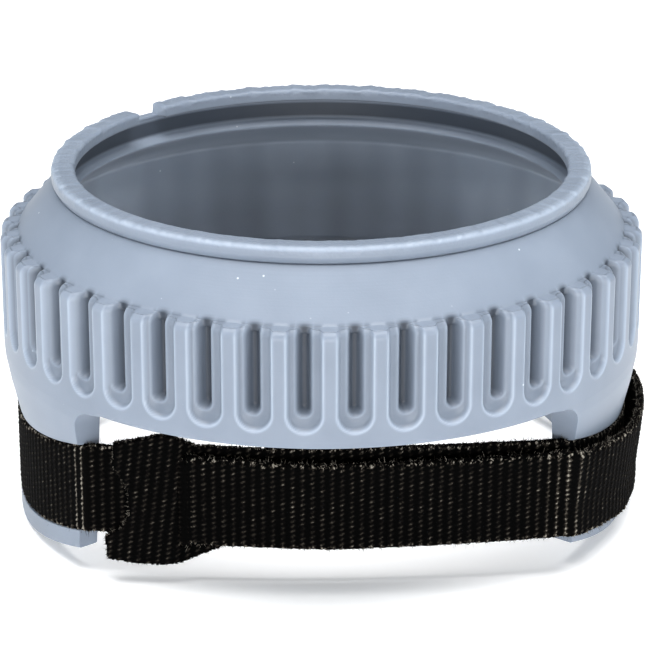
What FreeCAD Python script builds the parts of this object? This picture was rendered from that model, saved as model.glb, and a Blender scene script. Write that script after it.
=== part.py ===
import FreeCAD, Part
import math
import os

# Strap-on snoot collar for a studio lamp head: a moulded silicone ring with two
# flexing clamp legs, and one back-to-back hook-and-loop tie strap round the legs.
# Millimetres.  +Z is the way the light leaves.  The origin is on the ring's axis,
# at the ring's lower edge.  The legs stand on the -X and +X sides, and the strap's
# slotted head is at the front, which is -Y.

os.makedirs("parts", exist_ok=True)
Vec = FreeCAD.Vector

# ---------------------------------------------------------------- driving sizes
# ring, outside
belt_r = 58.0             # outer radius over the grip ribs
belt_top_z = 20.4         # top of the grip ribs
belt_edge = 0.8           # chamfer on the top of a rib
belt_lower_edge = 1.0     # chamfer along the ring's lower edge
cone_slope = 0.8          # radius lost per millimetre of height on the cone
shoulder_rise = 0.5       # fall of the rib tops from the cone out to the belt
rim_r = 48.5              # outer radius of the rim bead
rim_height = 2.9          # height of the rim bead
rim_undercut = 0.6        # how far the bead overhangs the cone
rim_top_z = 32.3          # top of the rim, above the ring's lower edge
rim_edge = 1.0            # chamfer on the outer edge of the rim

# ring, inside
lip_r = 44.3              # opening that the light leaves through
lip_height = 2.3          # height of the lip that holds an accessory in
lip_edge = 0.7            # chamfer on the inner edge of the rim
groove_depth = 2.5        # accessory groove, measured out from the lip
groove_height = 4.2
ledge_r = 45.4            # ledge under the accessory groove
ledge_fall = 0.9          # slope of the ledge's top
ledge_height = 0.4
bore_r = 52.0             # bore that takes the lamp head
bore_depth = 19.5         # height of the straight bore above the lower outer edge
skirt_drop = 1.8          # how far the bore's mouth hangs below the outer edge

# grip scallops
scallop_count = 43
scallop_phase = -4.15     # angle of the first scallop from the front, degrees
scallop_width = 6.0
scallop_depth = 0.9
scallop_foot_z = 3.1
slot_width = 2.6          # narrow deep groove inside each scallop
slot_depth = 2.4          # below the scallop's floor
slot_foot_z = 5.6

# key notch through the lip
notch_width = 7.5
notch_angle = 135.0       # from +X, degrees

# clamp legs
root_gap = 0.3            # line where a leg bends, just under the ring
leg_half_angle = 41.0     # half of the arc that one leg covers, degrees
leg_length = 27.6         # from the ring's lower edge to the lip's corner
leg_dip = 4.7             # how much lower the middle of a leg is than its corners
dip_run = 12.5            # distance along X from a leg's edge to the full dip
leg_flare_r = 4.5         # concave radius between a leg and the ring
leg_slant = 4.5           # lean of a leg's edges, so that it narrows downwards, degrees
leg_taper_r = 57.2        # outer radius of a leg a little below the ring
leg_taper_z = -6.0
leg_waist_r = 55.4        # outer radius where the strap's channel begins
leg_waist_z = -13.0
channel_r = 54.4          # floor of the strap's channel
foot_lip_r = 55.9         # outer radius of the lip that keeps the strap on
foot_lip_height = 3.6

# strap
strap_width = 16.0
strap_thickness = 1.6
layer_gap = 0.9           # between two layers of strap
strap_seat_gap = 0.4      # between the strap's lower edge and the foot lip
strap_head_room = 1.0     # between the strap's upper edge and the top of the channel
bow = 2.5                 # how far the strap bows out between the legs
flex_gap = 1.9            # between a free span and the strap held by a leg

# strap head, at the front left
head_tip_x = -36.8        # upper barb of the fish-tail end
barb_reach = 1.6          # how much longer the lower barb is
slot_x = -25.0            # middle of the slot that the tail comes out of
slot_half = 2.0
head_neck_x = -10.0       # the head has narrowed to the strap's width here
head_over = 3.1           # how far the head stands above the strap
head_under = 4.6          # and below it
fork_depth = 2.8          # depth of the fish-tail cut from the upper barb
head_tail_clear = 0.5     # between the strap's edges and the ends of the slot

# tail of the strap
tail_drop = 1.6           # the tail leaves the slot this much lower
tail_fold = 0.9           # fold line of the tail, ahead of the leg's edge
tail_end_angle = 22.0     # the tail ends here, degrees behind +X
joint_gap = 0.3           # between two stretches of tail

# ---------------------------------------------------------------- worked out
lip_low_z = rim_top_z - lip_height
rim_low_z = rim_top_z - rim_height
cone_top_r = rim_r - rim_undercut
groove_r = lip_r + groove_depth
groove_low_z = lip_low_z - groove_height
ledge_top_z = groove_low_z - ledge_fall
ledge_low_z = ledge_top_z - ledge_height
shoulder_z = belt_top_z + shoulder_rise
cone_low_r = cone_top_r + cone_slope * (rim_low_z - shoulder_z)
scallop_floor_r = belt_r - scallop_depth
slot_floor_r = scallop_floor_r - slot_depth
leg_low_z = -leg_length
foot_lip_top_z = leg_low_z + foot_lip_height
strap_low_z = foot_lip_top_z + strap_seat_gap
strap_top_z = strap_low_z + strap_width
half_strap = strap_thickness / 2.0
layer_pitch = strap_thickness + layer_gap
edge_angle = math.radians(leg_half_angle)
corner_x = channel_r * math.cos(edge_angle)
corner_y = channel_r * math.sin(edge_angle)
bow_r = (corner_x ** 2 + bow ** 2) / (2.0 * bow)
span_end_x = corner_x - flex_gap
dip_end_x = corner_x + dip_run
tail_joint_x = corner_x - tail_fold
reach = belt_r + 20.0     # larger than the object, for cutting shapes


# ---------------------------------------------------------------- helpers
def prism(points, direction):
    """Extrude a closed outline."""
    wire = Part.makePolygon(points + [points[0]])
    return Part.Face(wire).extrude(direction)


def revolve(points):
    """Turn a closed outline of (radius, height) points about the ring's axis."""
    wire = Part.makePolygon([Vec(r, 0, z) for r, z in points + [points[0]]])
    return Part.Face(wire).revolve(Vec(0, 0, 0), Vec(0, 0, 1), 360)


def sector(start, end, low, high):
    """A wedge about the axis between two angles from +X, in degrees."""
    middle = math.radians((start + end) / 2.0)
    outline = [Vec(0, 0, low)]
    for angle in (math.radians(start), middle, math.radians(end)):
        far = 2.0 * reach
        outline.append(Vec(far * math.cos(angle), far * math.sin(angle), low))
    return prism(outline, Vec(0, 0, high - low))


def side_band(low, high, slope=0.0):
    """Everything between two heights that dip together at the legs.

    slope is how much higher the band is at the right corner than at the left one.
    """
    def height(x, base):
        lean = slope * (min(max(x, -corner_x), corner_x) / (2.0 * corner_x) - 0.5)
        dip = leg_dip if abs(x) >= dip_end_x else 0.0
        return base + lean - dip

    stations = [-reach, -dip_end_x, -corner_x, corner_x, dip_end_x, reach]
    upper = [Vec(x, -reach, height(x, high)) for x in stations]
    lower = [Vec(x, -reach, height(x, low)) for x in reversed(stations)]
    return prism(upper + lower, Vec(0, 2.0 * reach, 0))


def loop_face(offset):
    """The area inside the strap's loop, with its inner face moved out by offset."""
    front = -corner_y
    apex = corner_y + bow
    corners = [Vec(-corner_x, front, 0), Vec(corner_x, front, 0),
               Vec(corner_x, corner_y, 0), Vec(-corner_x, corner_y, 0)]
    middles = [Vec(0, -apex, 0), Vec(channel_r, 0, 0),
               Vec(0, apex, 0), Vec(-channel_r, 0, 0)]
    edges = []
    for index in range(4):
        after = corners[(index + 1) % 4]
        edges.append(Part.Arc(corners[index], middles[index], after).toShape())
    wire = Part.Wire(edges)
    return Part.Face(wire.makeOffset2D(offset)) if offset else Part.Face(wire)


def strap_wall(layer):
    """One layer of the strap's closed loop, tall; layer 0 lies on the legs."""
    outer = loop_face(layer * layer_pitch + strap_thickness)
    inner = loop_face(layer * layer_pitch)
    tall = Vec(0, 0, 2.0 * reach)
    wall = outer.extrude(tall).cut(inner.extrude(tall))
    wall.translate(Vec(0, 0, -reach))
    return wall


def between_x(low, high, front_sign=0):
    """A slab of space between two planes across X, on one side of Y if asked."""
    low_y = 0.0 if front_sign > 0 else -reach
    depth = reach if front_sign else 2.0 * reach
    return Part.makeBox(high - low, depth, 2.0 * reach, Vec(low, low_y, -reach))


def front_run(x_a, layer_a, x_b, layer_b, low, high):
    """A straight run of strap between two places on the front of the loop."""
    y_a = -front_line(x_a) - layer_a * layer_pitch
    y_b = -front_line(x_b) - layer_b * layer_pitch
    run = [Vec(x_a, y_a - half_strap, low), Vec(x_b, y_b - half_strap, low),
           Vec(x_b, y_b + half_strap, low), Vec(x_a, y_a + half_strap, low)]
    return prism(run, Vec(0, 0, high - low))


def front_line(x):
    """Distance of the strap's middle line from the X axis, at the front."""
    return corner_y + half_strap + bow - (bow_r - math.sqrt(bow_r ** 2 - x ** 2))


def save(shape, name):
    """Write one named piece."""
    shape = shape.removeSplitter()
    shape.exportStep("parts/" + name + ".step")
    print(name, "solids", len(shape.Solids), "volume", round(shape.Volume, 1))


# ---------------------------------------------------------------- collar
def make_collar():
    """The moulded ring: rim, accessory groove, cone, grip belt and bore."""
    outline = [
        (bore_r, -skirt_drop),
        (belt_r - belt_lower_edge, 0.0),
        (belt_r, belt_lower_edge),
        (belt_r, belt_top_z - belt_edge),
        (belt_r - belt_edge, belt_top_z),
        (cone_low_r, shoulder_z),
        (cone_top_r, rim_low_z),
        (rim_r, rim_low_z + rim_undercut),
        (rim_r, rim_top_z - rim_edge),
        (rim_r - rim_edge, rim_top_z),
        (lip_r + lip_edge, rim_top_z),
        (lip_r, rim_top_z - lip_edge),
        (lip_r, lip_low_z),
        (groove_r, lip_low_z),
        (groove_r, groove_low_z),
        (ledge_r, ledge_top_z),
        (ledge_r, ledge_low_z),
        (bore_r, bore_depth),
    ]
    ring = revolve(outline)
    tools = []
    for index in range(scallop_count):
        angle = scallop_phase + index * 360.0 / scallop_count - 90.0
        tools.append(scallop_tool(angle, scallop_width, scallop_floor_r, scallop_foot_z))
        tools.append(scallop_tool(angle, slot_width, slot_floor_r, slot_foot_z))
    tools.append(notch_tool())
    return ring.cut(Part.makeCompound(tools))


def scallop_tool(angle, width, floor_r, foot_z):
    """An upright groove with a round foot, open at the top, facing out."""
    radius = width / 2.0
    depth = reach - floor_r
    height = rim_top_z - foot_z
    straight = Part.makeBox(depth, width, height, Vec(floor_r, -radius, foot_z + radius))
    foot = Part.makeCylinder(radius, depth, Vec(floor_r, 0, foot_z + radius), Vec(1, 0, 0))
    tool = straight.fuse(foot)
    tool.rotate(Vec(0, 0, 0), Vec(0, 0, 1), angle)
    clear_of_rim = Part.makeCylinder(cone_top_r, 2.0 * reach, Vec(0, 0, -reach))
    return tool.cut(clear_of_rim)


def notch_tool():
    """The key notch: a radial cut through the lip and the rim bead."""
    start_r = lip_r - notch_width
    depth = reach - start_r
    place = Vec(start_r, -notch_width / 2.0, lip_low_z)
    tool = Part.makeBox(depth, notch_width, rim_height + lip_height, place)
    tool.rotate(Vec(0, 0, 0), Vec(0, 0, 1), notch_angle)
    return tool


# ---------------------------------------------------------------- clamp legs
def make_leg(side):
    """One clamp leg: side is +1 for the +X leg and -1 for the -X leg."""
    middle = 0.0 if side > 0 else 180.0
    lowest = leg_low_z - leg_dip
    wall = revolve([(bore_r, 0.0), (belt_r, 0.0), (leg_taper_r, leg_taper_z),
                    (leg_waist_r, leg_waist_z), (channel_r, leg_waist_z),
                    (channel_r, lowest), (bore_r, lowest)])
    foot = revolve([(bore_r, 0.0), (foot_lip_r, 0.0), (foot_lip_r, lowest), (bore_r, lowest)])
    foot = foot.common(side_band(leg_low_z, foot_lip_top_z))
    wall = wall.common(side_band(leg_low_z, 2.0 * reach))
    strap_room = side_band(foot_lip_top_z, strap_top_z + strap_head_room)
    channel = revolve([(channel_r, reach), (reach, reach), (reach, -reach), (channel_r, -reach)])
    leg = wall.cut(channel.common(strap_room)).fuse(foot)
    leg = leg.common(sector(middle - leg_half_angle, middle + leg_half_angle, -reach, 0.0))
    for end in (-1, 1):
        leg = leg.cut(slanted_room(middle + end * leg_half_angle, end))
        leg = leg.fuse(make_flare(middle + end * leg_half_angle, end))
    mouth_z = -skirt_drop - root_gap
    ring_room = revolve([(0.0, 0.0), (reach, 0.0), (reach, -root_gap), (belt_r, -root_gap),
                         (bore_r, mouth_z), (0.0, mouth_z)])
    return leg.cut(ring_room)


def slanted_room(angle, end):
    """The space outside a leg's leaning edge, below the concave corner."""
    low_y = 0.0 if end > 0 else -reach
    room = Part.makeBox(reach, reach, 2.0 * reach, Vec(0, low_y, -leg_flare_r - 2.0 * reach))
    room.rotate(Vec(0, 0, -leg_flare_r), Vec(1, 0, 0), -end * leg_slant)
    room.rotate(Vec(0, 0, 0), Vec(0, 0, 1), angle)
    return room


def make_flare(angle, end):
    """The concave corner between a leg's edge and the ring's lower edge."""
    mean_r = (bore_r + belt_r) / 2.0
    spread = math.degrees(leg_flare_r / mean_r)
    far = angle + end * spread
    wall = revolve([(bore_r, 0.0), (belt_r - belt_lower_edge, 0.0),
                    (belt_r - belt_lower_edge, -leg_flare_r), (bore_r, -leg_flare_r)])
    block = wall.common(sector(min(angle, far), max(angle, far), -leg_flare_r, 0.0))
    turn = math.radians(far)
    hollow = Part.makeCylinder(leg_flare_r, reach, Vec(0, 0, -leg_flare_r),
                               Vec(math.cos(turn), math.sin(turn), 0))
    return block.cut(hollow)


# ---------------------------------------------------------------- strap
def make_strap_sections():
    """The stretches of the strap that lie in its closed loop."""
    loop = strap_wall(0).common(side_band(strap_low_z, strap_top_z))
    right = between_x(corner_x, reach)
    left = between_x(-reach, -corner_x)
    back = between_x(-span_end_x, span_end_x, 1)
    front = between_x(head_neck_x, span_end_x, -1)
    feed = between_x(-span_end_x, slot_x - slot_half, -1)
    return {
        "strap_front_lap": loop.common(front),
        "strap_right_wrap": loop.common(right),
        "strap_back_span": loop.common(back),
        "strap_left_wrap": loop.common(left),
        "strap_feed": loop.common(feed).fuse(make_slot_pass()).removeSplitter(),
    }


def make_slot_pass():
    """The stretch that crosses from inside the head, through its slot, to outside."""
    return front_run(slot_x - slot_half, 0, slot_x + slot_half - joint_gap, 1,
                     strap_low_z, strap_top_z)


def make_head():
    """The wide slotted head: fish-tail end, two rails beside the slot, and neck."""
    top = strap_top_z + head_over
    low = strap_low_z - head_under
    slot_left = slot_x - slot_half
    slot_right = slot_x + slot_half
    end_band = front_run(head_tip_x - barb_reach, 1, slot_left, 1, low, top)
    rails = front_run(slot_left, 1, slot_right, 0, low, top)
    neck = front_run(slot_right, 0, head_neck_x, 0, low, top)
    slot = between_x(slot_left, slot_right)
    slot = slot.common(side_band(strap_low_z - tail_drop - head_tail_clear,
                                 strap_top_z + head_tail_clear))
    middle = (strap_low_z + strap_top_z) / 2.0
    quarter = strap_width / 4.0
    outline = [
        (head_tip_x, strap_top_z + head_over / 2.0),
        (slot_left - strap_thickness, top),
        (slot_right + strap_thickness, top),
        (head_neck_x, strap_top_z),
        (head_neck_x, strap_low_z),
        (slot_right + strap_thickness, low + head_under / 4.0),
        (slot_left - strap_thickness, low),
        (head_tip_x - barb_reach, low + head_under / 6.0),
        (head_tip_x - barb_reach, strap_low_z),
        (head_tip_x + fork_depth, middle - quarter),
        (head_tip_x + fork_depth, middle + quarter / 4.0),
    ]
    shape = prism([Vec(x, -reach, z) for x, z in outline], Vec(0, reach, 0))
    return end_band.fuse(rails).fuse(neck).cut(slot).common(shape)


def make_tail_front():
    """The tail from the slot to the fold line beside the right leg."""
    wall = strap_wall(1).common(side_band(strap_low_z, strap_top_z, tail_drop))
    start = slot_x + slot_half
    return wall.common(between_x(start, tail_joint_x, -1))


def make_tail_side():
    """The tail's free end, lying over the strap on the right leg."""
    wall = strap_wall(1).common(side_band(strap_low_z, strap_top_z, tail_drop))
    wall = wall.common(sector(-90.0, tail_end_angle, -reach, reach))
    return wall.common(between_x(tail_joint_x + joint_gap, reach))


save(make_collar(), "collar")
save(make_leg(1), "clamp_leg_right")
save(make_leg(-1), "clamp_leg_left")
for section_name, section in make_strap_sections().items():
    save(section, section_name)
save(make_head(), "strap_head")
save(make_tail_front(), "strap_tail_front")
save(make_tail_side(), "strap_tail_side")
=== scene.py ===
# %% [markdown]
# # A strap-on snoot collar
# The object is a ring of blue-grey silicone that pushes over the front of a studio
# lamp head. Two curved legs under the ring grip the head, and a black hook-and-loop
# tie pulls them tight. First the imported frame is loaded. Every piece below is built
# in metres in that frame; the ring and the head ride on its ring body.

# %% Load the frame
import math
import bmesh
import bpy
import numpy as np
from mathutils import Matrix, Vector


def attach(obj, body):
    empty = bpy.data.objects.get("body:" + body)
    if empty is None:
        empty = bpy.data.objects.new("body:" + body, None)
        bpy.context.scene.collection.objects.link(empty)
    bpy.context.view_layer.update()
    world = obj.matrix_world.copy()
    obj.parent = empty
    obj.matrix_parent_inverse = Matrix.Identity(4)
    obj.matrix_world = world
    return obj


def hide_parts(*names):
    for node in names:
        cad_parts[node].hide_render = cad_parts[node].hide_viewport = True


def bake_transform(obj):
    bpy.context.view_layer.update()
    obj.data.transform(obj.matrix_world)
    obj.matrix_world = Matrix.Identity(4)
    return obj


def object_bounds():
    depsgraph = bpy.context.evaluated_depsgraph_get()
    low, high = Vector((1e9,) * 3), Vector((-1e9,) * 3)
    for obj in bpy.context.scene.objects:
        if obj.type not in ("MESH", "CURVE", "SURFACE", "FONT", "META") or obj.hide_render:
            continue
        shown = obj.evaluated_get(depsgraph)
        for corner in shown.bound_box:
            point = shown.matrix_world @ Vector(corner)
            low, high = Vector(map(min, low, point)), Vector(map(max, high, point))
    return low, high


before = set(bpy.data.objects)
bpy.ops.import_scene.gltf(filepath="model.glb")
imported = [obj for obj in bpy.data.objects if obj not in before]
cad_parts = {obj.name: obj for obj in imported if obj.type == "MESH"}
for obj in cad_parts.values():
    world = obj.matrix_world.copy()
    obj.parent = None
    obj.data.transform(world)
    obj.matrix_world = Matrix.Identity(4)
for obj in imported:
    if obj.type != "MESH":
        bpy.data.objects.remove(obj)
cad_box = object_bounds()
print("CAD box:", cad_box)

# %% [markdown]
# ## Helpers
# The ring is moulded, so its shape is a section carried round a circle. The tie is
# woven tape, so its shape is a band carried along a path. Both are grids of points,
# and one helper turns a grid into a mesh. Sizes are in millimetres until then.

# %% Grids to meshes
MM = 0.001
WELD = 0.002              # points closer than this become one, millimetres


def grid_faces(rows, columns, close_rows=False, close_columns=False):
    """The four corners of every cell in a grid of rows by columns."""
    i = np.arange(rows if close_rows else rows - 1)
    j = np.arange(columns if close_columns else columns - 1)
    i, j = np.meshgrid(i, j, indexing="ij")
    i2, j2 = (i + 1) % rows, (j + 1) % columns
    corners = [i * columns + j, i * columns + j2, i2 * columns + j2, i2 * columns + j]
    return np.stack([c.ravel() for c in corners], axis=1)


def make_piece(name, points, faces, material, weld=0.0):
    """A mesh object from points in millimetres."""
    mesh = bpy.data.meshes.new(name)
    faces = faces.tolist() if isinstance(faces, np.ndarray) else faces
    mesh.from_pydata((np.asarray(points) * MM).tolist(), [], faces)
    if weld:
        work = bmesh.new()
        work.from_mesh(mesh)
        bmesh.ops.remove_doubles(work, verts=work.verts, dist=weld * MM)
        bmesh.ops.dissolve_degenerate(work, edges=work.edges, dist=1e-7)
        work.to_mesh(mesh)
        work.free()
    mesh.polygons.foreach_set("use_smooth", np.ones(len(mesh.polygons), dtype=bool))
    mesh.materials.append(material)
    piece = bpy.data.objects.new(name, mesh)
    bpy.context.scene.collection.objects.link(piece)
    print(name, len(mesh.vertices), "points")
    return piece


def ease(low, high, value):
    """0 below low, 1 above high, and a smooth turn between them."""
    t = np.clip((np.asarray(value, dtype=float) - low) / (high - low), 0.0, 1.0)
    return t * t * (3.0 - 2.0 * t)


# %% [markdown]
# ## Colours and nodes
# Each material below is a small network of nodes. Its colours are written as sRGB
# hex, the way a paint card gives them, and turned to the linear values that light is
# worked out in. One helper adds any node, sets its sockets and joins its links.

# %% Colours and nodes
def linear(code):
    """An sRGB hex colour as the linear values that Blender's shaders use."""
    parts = [int(code[i:i + 2], 16) / 255.0 for i in (1, 3, 5)]
    parts = [c / 12.92 if c <= 0.04045 else ((c + 0.055) / 1.055) ** 2.4 for c in parts]
    return (*parts, 1.0)


def add_node(material, kind, settings=None, links=None, **values):
    """Add one node; values set its sockets, links join them to other nodes' outputs.

    An underscore in a value's name stands for a space.
    """
    tree = material.node_tree
    node = tree.nodes.new(kind)
    for key, value in (settings or {}).items():
        setattr(node, key, value)
    for key, value in values.items():
        node.inputs[key.replace("_", " ")].default_value = value
    for key, source in (links or {}).items():
        tree.links.new(source, node.inputs[key])
    return node


def start_material(name):
    """An empty node material with its output node."""
    material = bpy.data.materials.new(name)
    material.use_nodes = True
    material.node_tree.nodes.clear()
    return material, add_node(material, "ShaderNodeOutputMaterial")


# %% [markdown]
# ## The silicone
# The collar is compression-moulded silicone rubber, coloured all through. Light goes
# a little way into it, so its edges look soft and its hollows are not black. The
# cavity of the mould was turned on a lathe, which leaves very fine rings on the cone,
# and dust clings to the tacky surface. A principled shader with a little subsurface
# carries the colour, with a painted highlight on sharp edges and painted shade in the
# hollows mixed into it, and three bumps carry the turned rings, the fine skin and the
# mottled flash line on top of the rim.

# %% Moulded silicone material
def moulded_silicone():
    """Blue-grey silicone: soft satin, slightly milky, with turned rings and dust."""
    m, out = start_material("moulded_silicone_blue_grey")
    place = add_node(m, "ShaderNodeTexCoord").outputs["Object"]
    apart = add_node(m, "ShaderNodeSeparateXYZ", links={"Vector": place})
    height = apart.outputs["Z"]
    # Cloudy pigment: patches 12 mm across, barely darker or lighter.
    cloud = add_node(m, "ShaderNodeTexNoise", links={"Vector": place}, Scale=85.0, Detail=3.0)
    colour = add_node(m, "ShaderNodeValToRGB", links={"Fac": cloud.outputs["Fac"]})
    stops = colour.color_ramp.elements
    for stop, where, shade in zip(stops, (0.3, 0.72), ("#727C8A", "#7A8492")):
        stop.position, stop.color = where, linear(shade)
    # Dust and lint: white specks about 0.3 mm across, one or two per square centimetre.
    specks = add_node(m, "ShaderNodeTexVoronoi", links={"Vector": place}, Scale=300.0)
    dust = add_node(m, "ShaderNodeMapRange", {"clamp": True}, {"Value": specks.outputs["Distance"]},
                    From_Min=0.07, From_Max=0.03)
    patches = add_node(m, "ShaderNodeTexNoise", links={"Vector": place}, Scale=140.0, Detail=2.0)
    few = add_node(m, "ShaderNodeMapRange", {"clamp": True}, {"Value": patches.outputs["Fac"]},
                   From_Min=0.56, From_Max=0.66)
    dusty = add_node(m, "ShaderNodeMath", {"operation": "MULTIPLY"},
                     {0: dust.outputs["Result"], 1: few.outputs["Result"]})
    paint = add_node(m, "ShaderNodeMix", {"data_type": "RGBA"},
                     {0: dusty.outputs["Value"], 6: colour.outputs["Color"]})
    paint.inputs[7].default_value = linear("#C3CAD3")
    # Painted highlight makes the scallops' lips, the rim's bead and the upper bore paler; painted
    # shade greys the slots, recesses, groove, under the ledge and the bore.
    painted_highlight = add_node(m, "ShaderNodeAttribute", {"attribute_name": "painted_highlight"})
    painted_shade = add_node(m, "ShaderNodeAttribute", {"attribute_name": "painted_shade"})
    under_shade = paint
    # Painted light: the highlight mask mixes in a paler blue, the shade mask a dark grey-blue.
    for mark, most, shade in ((painted_highlight, 0.55, "#A9B5C4"), (painted_shade, 0.94, "#272E39")):
        share = add_node(m, "ShaderNodeMath", {"operation": "MULTIPLY"}, {0: mark.outputs["Fac"]})
        share.inputs[1].default_value = most
        mixed = add_node(m, "ShaderNodeMix", {"data_type": "RGBA"},
                         {0: share.outputs["Value"], 6: under_shade.outputs[2]})
        mixed.inputs[7].default_value = linear(shade)
        under_shade = mixed
    # The rim's top is the flash line of the mould: a rough mottled skin, 0.7 mm grain.
    mottle = add_node(m, "ShaderNodeTexNoise", links={"Vector": place}, Scale=1400.0, Detail=4.0)
    on_rim = add_node(m, "ShaderNodeMapRange", {"clamp": True}, {"Value": height},
                      From_Min=0.0300, From_Max=0.0318)
    rough_rim = add_node(m, "ShaderNodeMath", {"operation": "MULTIPLY"},
                         {0: mottle.outputs["Fac"], 1: on_rim.outputs["Result"]})
    # Fine uneven lines left by turning the mould, about 0.4 mm apart.
    rings = add_node(m, "ShaderNodeTexNoise", {"noise_dimensions": "1D"}, {"W": height},
                     Scale=2600.0, Detail=2.0)
    ring_bump = add_node(m, "ShaderNodeBump", links={"Height": rings.outputs["Fac"]},
                         Strength=0.10, Distance=0.0001)
    # Satin skin, drawn 0.4 mm coarse: the real grain is too fine to show.
    skin = add_node(m, "ShaderNodeTexNoise", links={"Vector": place}, Scale=2500.0, Detail=3.0)
    skin_bump = add_node(m, "ShaderNodeBump", links={"Height": skin.outputs["Fac"],
                         "Normal": ring_bump.outputs["Normal"]}, Strength=0.12, Distance=0.0001)
    rim_bump = add_node(m, "ShaderNodeBump", links={"Height": rough_rim.outputs["Value"],
                        "Normal": skin_bump.outputs["Normal"]}, Strength=0.5, Distance=0.0003)
    shine = add_node(m, "ShaderNodeMapRange", {"clamp": True}, {"Value": cloud.outputs["Fac"]},
                     To_Min=0.38, To_Max=0.50)
    # Silicone rubber's IOR is 1.41, and light goes about a millimetre into it.
    shader = add_node(m, "ShaderNodeBsdfPrincipled",
                      links={"Base Color": under_shade.outputs[2],
                             "Roughness": shine.outputs["Result"],
                             "Normal": rim_bump.outputs["Normal"]},
                      IOR=1.41, Subsurface_Weight=0.25, Subsurface_Scale=0.0012,
                      Subsurface_Radius=(0.8, 0.9, 1.0))
    m.node_tree.links.new(shader.outputs["BSDF"], out.inputs["Surface"])
    return m


silicone = moulded_silicone()
print("made", silicone.name)

# %% [markdown]
# ## The tie strap
# The tie is back-to-back tape: nylon loops on one side and hooks on the other, both
# woven from black yarn. Each raised rib of yarn catches the light on its crown while
# the gaps stay dark. The weave is real geometry, and stores how high each point
# stands, so that the material can paint a highlight on the crowns by making them
# a little paler.

# %% Woven nylon tape material
def woven_nylon_tape():
    """Black nylon yarn: dark and almost without gloss, with a painted highlight making the crowns
    of the weave paler.
    """
    m, out = start_material("woven_nylon_hook_and_loop_black")
    place = add_node(m, "ShaderNodeTexCoord").outputs["Object"]
    crown_highlight = add_node(m, "ShaderNodeAttribute", {"attribute_name": "crown_highlight"})
    # Grain about 0.4 mm wide: single fibres would be too fine to show.
    fibre = add_node(m, "ShaderNodeTexNoise", links={"Vector": place}, Scale=2600.0, Detail=4.0,
                     Roughness=0.7)
    spread = add_node(m, "ShaderNodeMapRange", {"clamp": True}, {"Value": fibre.outputs["Fac"]},
                      From_Min=0.35, From_Max=0.65, To_Min=0.55, To_Max=1.25)
    both = add_node(m, "ShaderNodeMath", {"operation": "MULTIPLY"},
                    {0: crown_highlight.outputs["Fac"], 1: spread.outputs["Result"]})
    # Painted highlight: the higher a point of the weave stands, the paler its colour.
    ramp = add_node(m, "ShaderNodeValToRGB", links={"Fac": both.outputs["Value"]})
    ramp.color_ramp.elements[0].position = 0.14
    ramp.color_ramp.elements[0].color = linear("#020202")
    ramp.color_ramp.elements[1].position = 1.0
    ramp.color_ramp.elements[1].color = linear("#827D74")
    for where, shade in ((0.32, "#060505"), (0.50, "#181613"), (0.72, "#332F2A")):
        step = ramp.color_ramp.elements.new(where)
        step.color = linear(shade)
    bump = add_node(m, "ShaderNodeBump", links={"Height": fibre.outputs["Fac"]},
                    Strength=0.6, Distance=0.0002)
    shader = add_node(m, "ShaderNodeBsdfPrincipled",
                      links={"Base Color": ramp.outputs["Color"], "Normal": bump.outputs["Normal"]},
                      Roughness=0.75, IOR=1.53, Specular_IOR_Level=0.015)
    m.node_tree.links.new(shader.outputs["BSDF"], out.inputs["Surface"])
    return m


nylon = woven_nylon_tape()
print("made", nylon.name)

# %% [markdown]
# ## The ring's section
# The section is walked as one closed line: up the grip belt, over the shoulder, up
# the cone, round the rim bead, in over the lip, down the accessory groove, over the
# ledge, out to the bore, and back along the foot of the wall. Corners are rounded by
# placing a few points on an arc, because a mould cannot hold a knife edge.

# %% Section of the ring
BELT_R, BELT_TOP, EDGE = 58.0, 20.4, 1.0
BORE_R, RIM_TOP, LIP_LOW = 52.0, 32.3, 30.0
CREASE_R, CREASE_Z = 47.9, 29.4
SHOULDER_R, SHOULDER_Z = 54.7, 20.9
GROOVE_R, LIP_BORE_R = 46.8, 44.3
SKIRT = 1.8               # the bore's mouth hangs this far below the outer edge


def arc(centre_r, centre_z, radius, start, end, count):
    """Points on an arc of the section, angles in degrees from +r towards +z."""
    turn = np.radians(np.linspace(start, end, count))
    return np.stack([centre_r + radius * np.cos(turn), centre_z + radius * np.sin(turn)], axis=1)


def straight(a, b, count):
    """Points from a up to, but not including, b."""
    t = np.linspace(0.0, 1.0, count, endpoint=False)[:, None]
    return np.array(a) * (1.0 - t) + np.array(b) * t


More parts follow.
